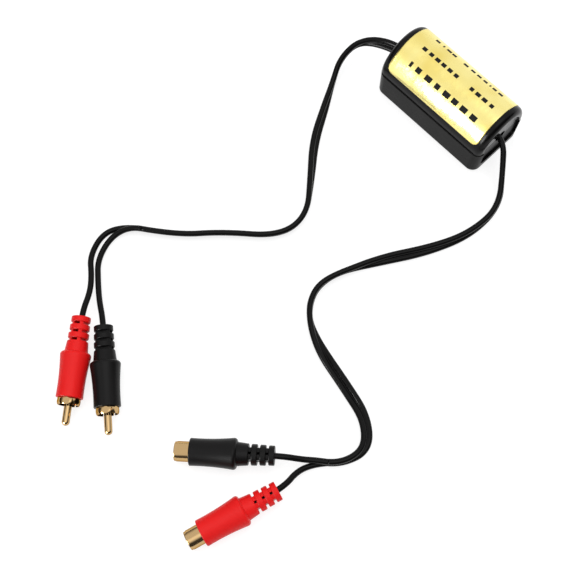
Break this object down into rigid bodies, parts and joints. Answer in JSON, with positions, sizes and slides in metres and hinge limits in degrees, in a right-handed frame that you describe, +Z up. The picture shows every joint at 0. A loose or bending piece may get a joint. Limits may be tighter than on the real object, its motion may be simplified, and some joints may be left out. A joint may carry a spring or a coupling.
{
  "type": "ground loop isolator",
  "caption": "Black half-round signal isolator with a blank gold foil label, and twin cords that end in slotted-ring plugs and in barrel jacks with ribbed red and black boots.",
  "frame": {"origin": "middle of the case's flat underside", "axes": "+X along the case towards the end where the jacks' cord leaves it, +Z up"},
  "size_m": [0.1515, 0.2394, 0.0306],
  "materials": {
    "case_gloss": "gloss moulded",
    "case_satin": "satin moulded",
    "foil": "gold mirror foil",
    "board": "phenolic board",
    "laminations": "stacked steel",
    "bobbin_plastic": "nylon",
    "copper": "enamelled wire",
    "tinned": "tinned",
    "tie_nylon": "nylon",
    "wire_sleeve": "satin",
    "cord_vinyl": "satin vinyl",
    "boot_red": "satin vinyl",
    "boot_black": "satin vinyl",
    "gold_plate": "gold plated",
    "insulator": "moulded"
  },
  "bodies": {
    "root": {"upper_shell": "case_gloss", "lower_shell": "case_satin", "label": "foil", "circuit_board": "board", "left_transformer_core": "laminations", "left_transformer_bobbin": "bobbin_plastic", "left_transformer_primary_winding": "copper", "left_transformer_secondary_winding": "copper", "left_transformer_pins": "tinned", "right_transformer_core": "laminations", "right_transformer_bobbin": "bobbin_plastic", "right_transformer_primary_winding": "copper", "right_transformer_secondary_winding": "copper", "right_transformer_pins": "tinned", "input_cable_tie": "tie_nylon", "input_hookup_wires": "wire_sleeve", "input_twin_cord": "cord_vinyl", "output_cable_tie": "tie_nylon", "output_hookup_wires": "wire_sleeve", "output_twin_cord": "cord_vinyl", "red_plug_boot": "boot_red", "red_plug_insulator": "insulator", "red_plug_core_wire": "cord_vinyl", "red_plug_ring": "gold_plate", "red_plug_pin": "gold_plate", "red_plug_lead": "cord_vinyl", "red_jack_boot": "boot_red", "red_jack_insulator": "insulator", "red_jack_core_wire": "cord_vinyl", "red_jack_barrel": "gold_plate", "red_jack_contact": "gold_plate", "red_jack_lead": "cord_vinyl", "black_plug_boot": "boot_black", "black_plug_insulator": "insulator", "black_plug_core_wire": "cord_vinyl", "black_plug_ring": "gold_plate", "black_plug_pin": "gold_plate", "black_plug_lead": "cord_vinyl", "black_jack_boot": "boot_black", "black_jack_insulator": "insulator", "black_jack_core_wire": "cord_vinyl", "black_jack_barrel": "gold_plate", "black_jack_contact": "gold_plate", "black_jack_lead": "cord_vinyl"}
  },
  "joints": []
}
